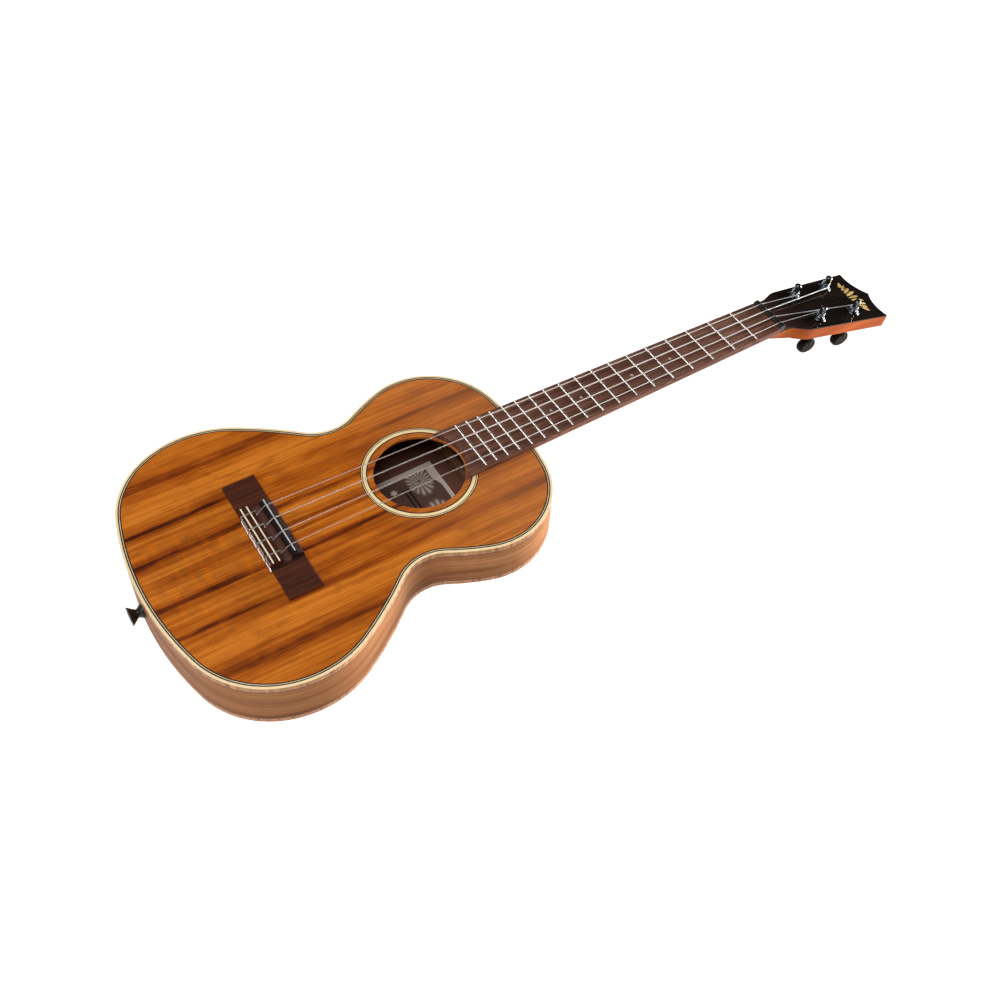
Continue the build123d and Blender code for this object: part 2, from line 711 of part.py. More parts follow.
with BuildPart() as peg_bushing:
    with Locations((0, 0, -6)):
        Cylinder(PEG_HOLE_RADIUS, 7.6, align=(Align.CENTER, Align.CENTER, Align.MIN))
    fillet(peg_bushing.faces().sort_by(Axis.Z)[-1].edges(), 0.5)
    Cylinder(POST_RADIUS + POST_CLEARANCE, 20, mode=Mode.SUBTRACT)

with BuildPart() as peg_collar:
    with Locations((0, 0, -HEAD_THICKNESS)):
        Cylinder(PEG_HOLE_RADIUS, 4, align=(Align.CENTER, Align.CENTER, Align.MIN))
        Cylinder(COLLAR_RADIUS, COLLAR_THICKNESS, align=(Align.CENTER, Align.CENTER, Align.MAX))
    fillet(peg_collar.faces().sort_by(Axis.Z)[0].edges(), 1.2)
    Cylinder(POST_RADIUS + POST_CLEARANCE, 60, mode=Mode.SUBTRACT)

BUTTON_FACE = -HEAD_THICKNESS - COLLAR_THICKNESS - 0.3
BUTTON_END = BUTTON_CENTRE - BUTTON_LENGTH / 2
POST_END = BUTTON_END + 5.0

with BuildPart() as peg_post:
    with BuildSketch(Plane.XZ):
        with BuildLine():
            Polyline(
                (0, POST_END),
                (POST_RADIUS, POST_END),
                (POST_RADIUS, 1.7),
                (POST_WAIST_RADIUS, 2.4),
                (POST_WAIST_RADIUS, 8.0),
                (POST_RADIUS, 8.8),
                (POST_RADIUS, POST_TOP - 0.8),
                (POST_RADIUS - 0.8, POST_TOP),
                (0, POST_TOP),
                close=True,
            )
        make_face()
    revolve(axis=Axis.Z)
    with Locations((0, 0, 6.6)):
        Cylinder(0.7, 20, rotation=(90, 0, 0), mode=Mode.SUBTRACT)
    with Locations((0, 0, POST_END)):
        Cylinder(1.0, 6, align=(Align.CENTER, Align.CENTER, Align.MIN), mode=Mode.SUBTRACT)

with BuildPart() as peg_button:
    with BuildSketch(Plane.XZ.offset(-BUTTON_THICKNESS / 2)):
        with Locations((0, BUTTON_CENTRE)):
            Ellipse(BUTTON_WIDTH / 2, BUTTON_LENGTH / 2)
    extrude(amount=BUTTON_THICKNESS)
    fillet(peg_button.edges().group_by(Axis.Y)[0], 2.6)
    fillet(peg_button.edges().group_by(Axis.Y)[-1], 2.6)
    with BuildSketch(Plane.XZ):
        with BuildLine():
            Polyline(
                (0, BUTTON_FACE),
                (5.6, BUTTON_FACE),
                (5.6, BUTTON_FACE - 1.6),
                (3.9, BUTTON_FACE - 3.6),
                (3.9, BUTTON_CENTRE + 2),
                (0, BUTTON_CENTRE + 2),
                close=True,
            )
        make_face()
    revolve(axis=Axis.Z)
    with Locations((0, 0, POST_END)):
        Cylinder(POST_RADIUS, 40, align=(Align.CENTER, Align.CENTER, Align.MIN), mode=Mode.SUBTRACT)
    Cylinder(1.0, 200, mode=Mode.SUBTRACT)
    with Locations((0, 0, BUTTON_END + 0.9)):
        Cylinder(2.3, 8, align=(Align.CENTER, Align.CENTER, Align.MAX), mode=Mode.SUBTRACT)

with BuildPart() as peg_screw:
    with Locations((0, 0, BUTTON_END + 0.9)):
        Cylinder(1.0, 9, align=(Align.CENTER, Align.CENTER, Align.MIN))
        Cylinder(2.1, 0.8, align=(Align.CENTER, Align.CENTER, Align.MAX))
    fillet(peg_screw.faces().sort_by(Axis.Z)[0].edges(), 0.3)
    with Locations((0, 0, BUTTON_END)):
        Box(3.0, 0.6, 1.0, mode=Mode.SUBTRACT)
        Box(0.6, 3.0, 1.0, mode=Mode.SUBTRACT)

peg_places = {name: HEAD.location * Pos(along, across, 0) for name, along, across in PEGS}

with BuildPart() as tuner_washers:
    for place in peg_places.values():
        add(place * peg_washer.part)
save(tuner_washers.part, "tuner_washers")

with BuildPart() as tuner_bushings:
    for place in peg_places.values():
        add(place * peg_bushing.part)
save(tuner_bushings.part, "tuner_bushings")

with BuildPart() as tuner_collars:
    for place in peg_places.values():
        add(place * peg_collar.part)
save(tuner_collars.part, "tuner_collars")

for name, radius, saddle_y, nut_y in STRINGS:
    place = peg_places[name]
    save(place * peg_post.part, "post_" + name)
    save(place * peg_button.part, "button_" + name)
    save(place * peg_screw.part, "button_screw_" + name)
    coil_radius = POST_WAIST_RADIUS + radius
    pitch = 2 * radius + 0.06
    with BuildPart() as winding:
        with BuildLine(Plane.XY.offset(WRAP_HEIGHT - pitch)) as turns:
            Helix(pitch=pitch, height=3 * pitch, radius=coil_radius)
        with BuildSketch(Plane(origin=turns.line @ 0, z_dir=turns.line % 0)):
            Circle(radius - 0.01)
        sweep(is_frenet=True)
    save(place * winding.part, "winding_" + name)
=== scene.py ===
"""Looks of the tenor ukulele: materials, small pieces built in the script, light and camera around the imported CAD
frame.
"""

import math

import bmesh
import bpy
from mathutils import Matrix, Vector


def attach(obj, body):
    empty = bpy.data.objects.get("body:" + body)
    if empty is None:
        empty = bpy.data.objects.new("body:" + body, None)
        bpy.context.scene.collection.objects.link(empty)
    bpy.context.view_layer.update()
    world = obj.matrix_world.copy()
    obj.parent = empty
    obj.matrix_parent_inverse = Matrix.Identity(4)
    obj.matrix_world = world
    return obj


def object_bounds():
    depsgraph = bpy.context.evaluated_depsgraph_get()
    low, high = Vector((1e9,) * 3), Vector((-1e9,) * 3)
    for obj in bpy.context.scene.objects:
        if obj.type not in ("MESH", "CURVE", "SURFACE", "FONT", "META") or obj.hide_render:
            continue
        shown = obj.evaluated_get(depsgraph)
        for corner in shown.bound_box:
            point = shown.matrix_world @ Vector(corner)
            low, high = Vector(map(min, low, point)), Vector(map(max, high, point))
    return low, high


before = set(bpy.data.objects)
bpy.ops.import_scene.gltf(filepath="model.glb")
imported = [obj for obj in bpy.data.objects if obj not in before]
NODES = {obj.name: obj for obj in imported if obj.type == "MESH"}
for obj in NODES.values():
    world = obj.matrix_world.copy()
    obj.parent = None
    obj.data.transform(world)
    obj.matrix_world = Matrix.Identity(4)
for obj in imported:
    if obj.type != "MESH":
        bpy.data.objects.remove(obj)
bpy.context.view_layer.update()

# Places on the instrument, in metres in the row frame.
TOP_Z = 0.040  # upper face of the soundboard
NUT_X = 0.432  # where the open strings end
SADDLE_TOP = TOP_Z + 0.0092
BRIDGE_REAR_X = -0.0185
RAISED_HALF_WIDTH = 0.0263  # of the bridge's tie block and saddle block
BODY = "instrument"  # everything but the pegs


# ---------------------------------------------------------------- materials


class Shade:
    """A node material written as expressions. Coordinates are the row frame, in metres."""

    def __init__(self, name, **values):
        self.material = bpy.data.materials.new(name)
        self.material.use_nodes = True
        self.tree = self.material.node_tree
        self.tree.nodes.clear()
        output = self.tree.nodes.new("ShaderNodeOutputMaterial")
        self.shader = self.tree.nodes.new("ShaderNodeBsdfPrincipled")
        self.tree.links.new(self.shader.outputs[0], output.inputs["Surface"])
        self.place = self.tree.nodes.new("ShaderNodeTexCoord").outputs["Object"]
        self.x, self.y, self.z = self.split(self.place)
        self.set(**values)

    def put(self, socket, value):
        if isinstance(value, bpy.types.NodeSocket):
            self.tree.links.new(value, socket)
        elif value is not None:
            if hasattr(socket.default_value, "__len__") and len(socket.default_value) == 4:
                value = (*value[:3], 1.0)
            socket.default_value = value

    def set(self, **values):
        for key, value in values.items():
            self.put(self.shader.inputs[key.replace("_", " ").title().replace("Ior", "IOR")], value)
        return self

    def split(self, vector):
        node = self.tree.nodes.new("ShaderNodeSeparateXYZ")
        self.put(node.inputs[0], vector)
        return node.outputs[0], node.outputs[1], node.outputs[2]

    def facing_up(self):
        """How far the face turns to the soundboard's side: 1 for upper faces, -1 for lower ones."""
        node = self.tree.nodes.new("ShaderNodeTexCoord")
        return self.split(node.outputs["Normal"])[2]

    def join(self, x=0.0, y=0.0, z=0.0):
        node = self.tree.nodes.new("ShaderNodeCombineXYZ")
        for socket, value in zip(node.inputs, (x, y, z)):
            self.put(socket, value)
        return node.outputs[0]

    def math(self, operation, *values, clamp=False):
        node = self.tree.nodes.new("ShaderNodeMath")
        node.operation = operation
        node.use_clamp = clamp
        for socket, value in zip(node.inputs, values):
            self.put(socket, value)
        return node.outputs[0]

    def add(self, a, b):
        return self.math("ADD", a, b)

    def mul(self, a, b):
        return self.math("MULTIPLY", a, b)

    def noise(self, sx, sy, sz, x=None, y=None, z=None, detail=3.0, rough=0.55, seed=0.0, warp=0.0):
        """Noise from 0 to 1 with that many features to the metre along each axis."""
        vector = self.join(
            self.math("MULTIPLY_ADD", self.x if x is None else x, sx, seed),
            self.math("MULTIPLY_ADD", self.y if y is None else y, sy, seed * 1.7),
            self.mul(self.z if z is None else z, sz),
        )
        node = self.tree.nodes.new("ShaderNodeTexNoise")
        self.put(node.inputs["Vector"], vector)
        for key, value in (("Scale", 1.0), ("Detail", detail), ("Roughness", rough), ("Distortion", warp)):
            self.put(node.inputs[key], value)
        return node.outputs[0]

    def ramp(self, fac, *stops, smooth=True):
        """stops are (position, grey or colour)."""
        node = self.tree.nodes.new("ShaderNodeValToRGB")
        node.color_ramp.interpolation = "EASE" if smooth else "LINEAR"
        elements = node.color_ramp.elements
        while len(elements) < len(stops):
            elements.new(0.5)
        for element, (position, colour) in zip(elements, stops):
            element.position = position
        for element, (position, colour) in zip(elements, stops):
            colour = colour if hasattr(colour, "__len__") else (colour,) * 3
            element.color = (*colour, 1.0)
        self.put(node.inputs[0], fac)
        return node.outputs[0]

    def step(self, value, low, high, out_low=0.0, out_high=1.0):
        """Rises smoothly from out_low to out_high as value goes from low to high."""
        node = self.tree.nodes.new("ShaderNodeMapRange")
        node.interpolation_type = "SMOOTHSTEP"
        for socket, v in zip(node.inputs, (value, low, high, out_low, out_high)):
            self.put(socket, v)
        return node.outputs[0]

    def mix(self, fac, a, b, blend="MIX"):
        node = self.tree.nodes.new("ShaderNodeMix")
        node.data_type = "RGBA"
        node.blend_type = blend
        self.put(node.inputs[0], fac)
        self.put(node.inputs[6], a)
        self.put(node.inputs[7], b)
        return node.outputs[2]

    def bump(self, height, distance, strength=1.0):
        node = self.tree.nodes.new("ShaderNodeBump")
        self.put(node.inputs["Strength"], strength)
        self.put(node.inputs["Distance"], distance)
        self.put(node.inputs["Height"], height)
        self.put(self.shader.inputs["Normal"], node.outputs[0])
        return self


def acacia_top():
    """Book-matched board: the streaks mirror about the centre seam and run along the neck."""
    s = Shade("acacia_top", roughness=0.42, specular_ior_level=0.12)
    half = s.math("ABSOLUTE", s.y)
    sway = s.mul(s.add(s.noise(9, 0, 0, detail=1.0, seed=3.1, y=half), -0.5), 0.005)
    fray = s.mul(s.add(s.noise(16, 160, 0, detail=3.0, seed=8.4), -0.5), 0.0045)
    across = s.math("MULTIPLY", s.add(s.add(half, sway), fray), 1.0 / 0.12)
    mm = 1.0 / 120.0
    tail = s.ramp(
        across,
        (0, 0.30), (3 * mm, 0.34), (7 * mm, 0.05), (12 * mm, 0.08), (16 * mm, 0.30), (18.5 * mm, 0.60),
        (20.5 * mm, 0.98), (23 * mm, 0.40), (29 * mm, 0.12), (39 * mm, 0.18), (44 * mm, 0.42), (46.5 * mm, 0.98),
        (49 * mm, 0.40), (53 * mm, 0.20), (62 * mm, 0.04), (70 * mm, 0.08), (78 * mm, 0.30), (85 * mm, 0.66),
        (91 * mm, 0.30), (100 * mm, 0.14), (116 * mm, 0.26),
    )
    waist = s.ramp(
        across,
        (0, 0.20), (2 * mm, 0.52), (5 * mm, 0.15), (12 * mm, 0.05), (17 * mm, 0.22), (20.5 * mm, 0.92),
        (23 * mm, 0.36), (31 * mm, 0.28), (42 * mm, 0.40), (47 * mm, 0.30), (54 * mm, 0.45), (58 * mm, 0.16),
        (64 * mm, 0.02), (72 * mm, 0.10), (80 * mm, 0.34), (86 * mm, 0.72), (91 * mm, 0.30), (96 * mm, 0.20),
    )
    upper = s.ramp(
        across,
        (0, 0.3), (24 * mm, 0.38), (30 * mm, 0.20), (38 * mm, 0.12), (46 * mm, 0.26), (52.5 * mm, 0.66),
        (56 * mm, 0.20), (64 * mm, 0.10), (68 * mm, 0.28), (75 * mm, 0.10), (90 * mm, 0.25),
    )
    dark = s.mix(s.step(s.x, -0.045, 0.018), tail, waist)
    dark = s.mix(s.step(s.x, 0.075, 0.135), dark, upper)
    # streaks come and go along their length, then fine grain lines over everything
    swell = s.noise(22, 60, 0, detail=3.0, rough=0.6, seed=7.7, warp=0.3)
    streak = s.noise(5, 260, 0, detail=5.0, rough=0.62, seed=1.3, warp=0.15)
    line = s.noise(9, 1100, 0, detail=3.0, rough=0.65, seed=5.5)
    dark = s.mul(dark, s.step(swell, 0.30, 0.68, 0.62, 1.22))
    dark = s.add(dark, s.mul(s.add(streak, -0.46), 1.05))
    dark = s.add(dark, s.mul(s.add(line, -0.5), 0.85))
    wood = s.ramp(
        dark,
        (0.0, (0.70, 0.215, 0.022)), (0.22, (0.52, 0.135, 0.009)), (0.46, (0.345, 0.073, 0.004)),
        (0.74, (0.160, 0.028, 0.002)), (1.0, (0.055, 0.008, 0.001)),
        smooth=False,
    )
    # figure across the grain, strongest by the tail and the centre seam
    figure = s.noise(230, 34, 0, detail=4.0, rough=0.62, seed=2.2, warp=0.35)
    near = s.mul(s.step(half, 0.090, 0.010, 0.25, 0.80), s.step(s.x, 0.06, -0.06, 0.45, 1.0))
    glow = s.mul(s.step(figure, 0.44, 0.68), near)
    wood = s.mix(glow, wood, (0.78, 0.56, 0.30), "SOFT_LIGHT")
    mottle = s.noise(30, 90, 0, detail=4.0, rough=0.65, seed=11.0, warp=0.4)
    wood = s.mix(s.step(mottle, 0.50, 0.70, 0.0, 0.40), wood, (0.21, 0.046, 0.004))
    # the upper bout is a little paler and duller
    wood = s.mix(s.step(s.x, 0.050, 0.170, 0.0, 0.34), wood, (0.50, 0.20, 0.085))
    pores = s.step(s.noise(80, 2600, 0, detail=1.0, seed=4.4), 0.60, 0.72)
    wood = s.mix(s.mul(pores, 0.45), wood, (0.09, 0.020, 0.004))
    s.set(base_color=wood)
    return s.bump(s.add(line, s.mul(pores, -0.6)), 0.00006).material


def body_wood(name, along_rim, light, mid, dark, seed):
    """Brown acacia of the back and sides. The grain follows the rim on the sides, and X elsewhere."""
    s = Shade(name, roughness=0.5, specular_ior_level=0.06)
    if along_rim:
        broad = s.noise(5, 5, 85, detail=3.0, seed=seed, warp=0.3)
        fine = s.noise(14, 14, 620, detail=3.0, seed=seed + 2)
        pores = s.step(s.noise(70, 70, 2400, detail=1.0, seed=seed + 4), 0.60, 0.74)
        figure = s.noise(70, 70, 8, detail=2.0, seed=seed + 1)
    else:
        half = s.math("ABSOLUTE", s.y)
        broad = s.noise(5, 70, 0, y=half, detail=4.0, seed=seed, warp=0.3)
        fine = s.noise(14, 560, 0, detail=3.0, seed=seed + 2)
        pores = s.step(s.noise(80, 2400, 0, detail=1.0, seed=seed + 4), 0.60, 0.74)
        figure = s.noise(80, 12, 0, detail=2.0, seed=seed + 1)
    tone = s.add(s.mul(broad, 0.72), s.mul(fine, 0.28))
    wood = s.ramp(tone, (0.32, light), (0.50, mid), (0.66, dark))
    wood = s.mix(s.step(figure, 0.45, 0.75, 0.0, 0.35), wood, light, "SOFT_LIGHT")
    wood = s.mix(s.mul(pores, 0.3), wood, dark)
    # the faces turned up into the body, the inside of the back, are bare unpolished wood painted darker than that wood:
    # painted shade inside the body
    bare_wood_and_shade = s.mix(fine, (0.200, 0.088, 0.060), (0.095, 0.038, 0.027))
    s.set(base_color=s.mix(s.step(s.facing_up(), 0.3, 0.6), wood, bare_wood_and_shade))
    return s.bump(s.add(fine, s.mul(pores, -0.6)), 0.00006).material


def maple(name, top, light, mid, dark):
    """Flamed binding, pinkish and flamed on its side. Its upper face is painted a bright cream: painted light on the
    face turned up to the lamps.
    """
    s = Shade(name, roughness=0.4, specular_ior_level=0.08)
    flame = s.noise(260, 260, 22, detail=4.0, rough=0.65, seed=1.0, warp=0.5)
    grain = s.noise(20, 20, 900, detail=2.0, seed=6.0)
    tone = s.add(s.mul(flame, 0.72), s.mul(grain, 0.28))
    wood = s.ramp(tone, (0.34, light), (0.50, mid), (0.63, dark))
    # painted light: the upper face is painted bright cream, lighter than the flamed side below it
    cream = s.mix(s.step(flame, 0.55, 0.70, 0.0, 0.3), top, mid)
    s.set(base_color=s.mix(s.step(s.z, TOP_Z - 0.0005, TOP_Z - 0.0001), wood, cream))
    return s.bump(grain, 0.00003).material


def plain_wood(name, light, dark, sx=10, sy=300, sz=300, roughness=0.55, depth=0.00006, seed=0.0, spec=0.22):
    s = Shade(name, roughness=roughness, specular_ior_level=spec)
    broad = s.noise(sx * 0.5, sy * 0.25, sz * 0.25, detail=3.0, seed=seed, warp=0.4)
    fine = s.noise(sx * 1.6, sy * 2.4, sz * 2.4, detail=3.0, seed=seed + 2)
    tone = s.add(s.mul(broad, 0.6), s.mul(fine, 0.4))
    wood = s.ramp(tone, (0.34, light), (0.66, dark))
    s.set(base_color=wood)
    return s.bump(fine, depth).material


def rosewood(name, lights, seed, roughness=0.42, block=False):
    """Dark open-pored wood with reddish streaks along X."""
    s = Shade(name, specular_ior_level=0.14)
    streak = s.noise(9, 330, 60, detail=4.0, rough=0.62, seed=seed, warp=0.3)
    line = s.noise(26, 1500, 300, detail=3.0, seed=seed + 3)
    tone = s.add(s.mul(streak, 0.68), s.mul(line, 0.32))
    wood = s.ramp(tone, (0.34, lights[0]), (0.50, lights[1]), (0.66, lights[2]))
    pores = s.step(s.noise(150, 3200, 300, detail=1.0, seed=seed + 5), 0.58, 0.72)
    wood = s.mix(s.mul(pores, 0.55), wood, (0.012, 0.007, 0.006))
    if block:
        # bridge block: the trough floor between tie block and saddle block is painted lighter, a painted sheen on the
        # face turned up to the lamps; the saddle block's top in front of the saddle is painted near-black, painted
        # shade on its slope
        middle = s.step(s.math("ABSOLUTE", s.y), RAISED_HALF_WIDTH + 0.0007, RAISED_HALF_WIDTH - 0.0001)
        saddle_block_shade = s.mul(s.step(s.x, -0.0036, -0.0026), middle)
        trough_sheen = s.mul(s.step(s.x, -0.0092, -0.0088), s.step(s.x, -0.0026, -0.0036))
        trough_sheen = s.mul(trough_sheen, middle)
        wood = s.mix(s.mul(trough_sheen, 0.55), wood, (0.170, 0.085, 0.066))
        wood = s.mix(s.mul(saddle_block_shade, 0.80), wood, (0.006, 0.004, 0.005))
    s.set(base_color=wood, roughness=s.step(pores, 0.0, 1.0, roughness, 0.65))
    return s.bump(s.add(line, s.mul(pores, -1.2)), 0.00008).material


def lacquer_black():
    """Black lacquered veneer of the headstock's face: the wood just shows through."""
    s = Shade("head_lacquer", roughness=0.10, specular_ior_level=0.18)
    grain = s.noise(12, 420, 0, detail=3.0, seed=2.0)
    pale = s.step(s.x, 0.470, 0.433, 0.0, 1.0)
    wood = s.ramp(grain, (0.35, (0.007, 0.004, 0.003)), (0.68, (0.002, 0.0015, 0.001)))
    brown = s.ramp(grain, (0.35, (0.034, 0.013, 0.010)), (0.68, (0.012, 0.006, 0.005)))
    s.set(base_color=s.mix(s.mul(pale, 0.7), wood, brown))
    return s.material


def metal(name, colour, roughness, wear=(0.0, 0.0, 0.0)):
    s = Shade(name, metallic=1.0)
    cloud = s.noise(420, 420, 420, detail=3.0)
    scuff = s.noise(2600, 2600, 2600, detail=2.0, seed=3.0)
    s.set(base_color=s.mix(s.step(cloud, 0.35, 0.7, 0.0, 0.35), colour, wear))
    s.set(roughness=s.step(s.add(s.mul(cloud, 0.6), s.mul(scuff, 0.4)), 0.3, 0.7, roughness * 0.75, roughness * 1.35))
    return s.material


def plastic(name, colour, shade, roughness, **more):
    s = Shade(name, **more)
    cloud = s.noise(240, 240, 240, detail=3.0, seed=1.5)
    skin = s.noise(5200, 5200, 5200, detail=1.0, seed=2.5)
    s.set(base_color=s.mix(s.step(cloud, 0.3, 0.7), colour, shade))
    s.set(roughness=s.step(cloud, 0.3, 0.7, roughness * 0.85, roughness * 1.2))
    return s.bump(skin, 0.000008).material


def string_nylon():
    """Clear nylon that turns milky over the neck, where it is handled, and is left in shade behind the nut."""
    s = Shade("clear_nylon", roughness=0.2, ior=1.4)
    cloud = s.noise(240, 240, 240, detail=2.0)
    milky = s.mix(cloud, (1.0, 0.96, 0.92), (1.0, 0.92, 0.86))
    s.set(base_color=s.mix(s.step(s.x, NUT_X + 0.001, NUT_X + 0.009), milky, (0.34, 0.34, 0.35)))
    s.set(transmission_weight=s.step(s.x, 0.120, 0.175, 0.80, 0.42))
    return s.material


def saddle_bone():
    """Black saddle with a thin grey line painted along its crest: a painted highlight where the crown catches the
    light.
    """
    s = Shade("black_saddle", roughness=0.2, specular_ior_level=0.35)
    cloud = s.noise(400, 400, 400, detail=2.0)
    body = s.mix(cloud, (0.012, 0.011, 0.011), (0.020, 0.018, 0.018))
    painted_highlight_grey = s.mix(cloud, (0.50, 0.52, 0.52), (0.30, 0.31, 0.31))
    # painted highlight: a thin grey line along the top of the crown, where the light catches it
    off_line = s.math("ABSOLUTE", s.add(s.x, -0.0003))
    highlight_line = s.mul(s.step(s.z, SADDLE_TOP - 0.0003, SADDLE_TOP), s.step(off_line, 0.00055, 0.00035))
    s.set(base_color=s.mix(highlight_line, body, painted_highlight_grey))
    return s.material


def label_print():
    """Paper label: a pale frame round a brown field with leaves, two bars and a flower, the same at each end."""
    s = Shade("label_paper", roughness=0.75, specular_ior_level=0.15)
    low = s.math("ABSOLUTE", s.y)
    rough = s.noise(900, 900, 0, detail=2.0, seed=3.0)
    left = s.add(s.x, -0.0785)
    top = s.math("SUBTRACT", 0.0262, low)
    right = s.math("SUBTRACT", s.step(low, 0.006, 0.017, 0.1325, 0.1290), s.x)
    corner = s.math("SMOOTH_MIN", left, top, 0.008)
    inside = s.step(s.math("MINIMUM", corner, right), 0.0, 0.0005)
    # fan of leaves
    dx = s.add(s.x, -0.1190)
    dy = s.add(low, -0.0180)
    turn = s.math("ARCTAN2", dx, dy)
    rays = s.step(s.math("SINE", s.add(s.mul(turn, 17.0), s.mul(rough, 2.0))), -0.2, 0.6)
    reach = s.math("SQRT", s.add(s.mul(s.mul(dx, dx), 2.4), s.mul(dy, dy)))
    fan = s.mul(s.step(reach, 0.0165, 0.0120), s.mul(s.step(reach, 0.0008, 0.0018), s.step(rays, 0.0, 1.0, 0.22, 1.0)))
    # flower
    fx = s.add(s.x, -0.0973)
    fy = s.add(low, -0.0172)
    petals = s.math("MULTIPLY_ADD", s.math("SINE", s.mul(s.math("ARCTAN2", fx, fy), 6.0)), 0.0006, 0.0026)
    flower = s.step(s.math("SUBTRACT", petals, s.math("SQRT", s.add(s.mul(fx, fx), s.mul(fy, fy)))), 0.0, 0.0004)
    # bars
    bars = s.math("MINIMUM", s.math("ABSOLUTE", s.add(s.x, -0.1047)), s.math("ABSOLUTE", s.add(s.x, -0.1081)))
    bars = s.mul(s.step(bars, 0.0008, 0.0006), s.step(low, 0.0160, 0.0150))
    brown = s.mix(rough, (0.075, 0.034, 0.024), (0.150, 0.085, 0.062))
    pale = s.mix(rough, (0.50, 0.41, 0.35), (0.70, 0.60, 0.53))
    field = s.mix(s.mul(fan, 0.8), brown, pale)
    field = s.mix(flower, field, pale)
    field = s.mix(bars, field, (0.012, 0.008, 0.007))
    s.set(base_color=s.mix(inside, pale, field))
    return s.material


MATERIALS = {
    "acacia_top": acacia_top(),
    "sides": body_wood("acacia_sides", True, (0.45, 0.200, 0.080), (0.31, 0.125, 0.043), (0.165, 0.058, 0.018), 2.0),
    "back": body_wood("acacia_back", False, (0.52, 0.27, 0.115), (0.36, 0.165, 0.062), (0.15, 0.055, 0.02), 7.0),
    "maple": maple("flamed_maple", (1.0, 0.78, 0.46), (0.62, 0.345, 0.180), (0.45, 0.220, 0.100), (0.24, 0.098, 0.038)),
    "maple_low": maple("back_maple", (0.6, 0.4, 0.25), (0.60, 0.33, 0.19), (0.46, 0.225, 0.115), (0.27, 0.115, 0.05)),
    "dark_line": plain_wood("dyed_line", (0.035, 0.026, 0.022), (0.010, 0.008, 0.008), 60, 60, 900, 0.4),
    "light_line": plain_wood("pale_line", (0.86, 0.74, 0.50), (0.70, 0.54, 0.32), 90, 90, 400, 0.4),
    "rosette": plain_wood("rosette_cream", (1.0, 0.84, 0.50), (0.95, 0.70, 0.34), 120, 120, 500, 0.35),
    # the spruce braces and bridge plate, the linings and the mahogany blocks inside the body are given darker colours
    # than their woods: painted shade inside the body
    "spruce": plain_wood("spruce_bare", (0.24, 0.12, 0.06), (0.15, 0.07, 0.033), 12, 500, 500, 0.75),
    "lining": plain_wood("lining_bare", (0.22, 0.085, 0.04), (0.12, 0.045, 0.022), 60, 60, 500, 0.75),
    "mahogany": plain_wood("mahogany_neck", (0.47, 0.105, 0.012), (0.30, 0.054, 0.005), 14, 420, 300, 0.42, spec=0.10),
    "block": plain_wood("mahogany_block", (0.20, 0.07, 0.035), (0.11, 0.035, 0.018), 14, 380, 300, 0.7),
    "fretboard": rosewood("rosewood_board", ((0.275, 0.120, 0.075), (0.155, 0.064, 0.042), (0.055, 0.023, 0.016)), 1.0),
    "bridge": rosewood(
        "rosewood_bridge", ((0.130, 0.034, 0.014), (0.066, 0.017, 0.008), (0.020, 0.006, 0.004)), 9.0, block=True
    ),
    "head_face": lacquer_black(),
    "gold": metal("antique_gold", (0.55, 0.37, 0.09), 0.35, (0.16, 0.09, 0.02)),
    "dots": plastic("cream_dots", (0.56, 0.47, 0.34), (0.42, 0.34, 0.24), 0.3),
    "trim": plastic("cream_trim", (1.0, 0.95, 0.72), (0.98, 0.88, 0.62), 0.3),
    "saddle": saddle_bone(),
    "nut": plastic("black_nut", (0.012, 0.011, 0.011), (0.020, 0.018, 0.017), 0.16, specular_ior_level=0.35),
    "button": plastic("black_button", (0.006, 0.004, 0.003), (0.013, 0.009, 0.007), 0.22, specular_ior_level=0.05),
    "fret": metal("nickel_fret", (0.97, 0.93, 0.88), 0.22, (0.80, 0.74, 0.66)),
    "chrome": metal("black_chrome", (0.13, 0.14, 0.155), 0.16, (0.07, 0.075, 0.08)),
    "steel": plastic("black_steel", (0.014, 0.012, 0.011), (0.022, 0.019, 0.017), 0.30, specular_ior_level=0.3),
    "nylon": string_nylon(),
    "coil": plastic("clear_coil", (0.75, 0.77, 0.80), (0.60, 0.62, 0.66), 0.12, transmission_weight=0.92, ior=1.3),
    "paper": label_print(),
}

WEARS = {
    "acacia_top": ["soundboard"],
    "sides": ["side_bass", "side_treble"],
    "back": ["back_plate"],
    "maple": ["top_binding"],
    "maple_low": ["back_binding"],
    "dark_line": ["purfling_dark", "rosette_dark", "side_lines"],
    "light_line": ["purfling_light"],
    "rosette": ["rosette_light"],
    "spruce": ["soundboard_braces", "back_braces", "bridge_plate"],
    "lining": ["top_lining", "back_lining"],
    "mahogany": ["neck"],
    "block": ["neck_block", "tail_block"],
    "fretboard": ["fretboard"],
    "bridge": ["bridge"],
    "head_face": ["headstock_veneer"],
    "gold": ["headstock_inlay"],
    "dots": ["fret_markers"],
    "trim": ["tie_block_trim"],
    "saddle": ["saddle"],
    "nut": ["nut"],
    "button": ["button_g", "button_c", "button_e", "button_a"],
    "fret": ["frets"],
    "chrome": ["post_g", "post_c", "post_e", "post_a", "tuner_washers", "tuner_bushings", "tuner_collars"],
    "steel": [
        "strap_button", "strap_button_screw", "button_screw_g", "button_screw_c", "button_screw_e", "button_screw_a",
    ],
    "nylon": ["string_g", "string_c", "string_e", "string_a"],
    "coil": ["winding_g", "winding_c", "winding_e", "winding_a"],
    "paper": ["label"],
}


def wear(obj, material):
    if not obj.material_slots:
        obj.data.materials.append(material)
    for slot in obj.material_slots:
        slot.material = material


for finish, names in WEARS.items():
    for name in names:
        wear(NODES[name], MATERIALS[finish])
left_bare = sorted(set(NODES) - {n for names in WEARS.values() for n in names})
if left_bare:
    raise SystemExit("no material for " + ", ".join(left_bare))


# ---------------------------------------------------------------- small pieces


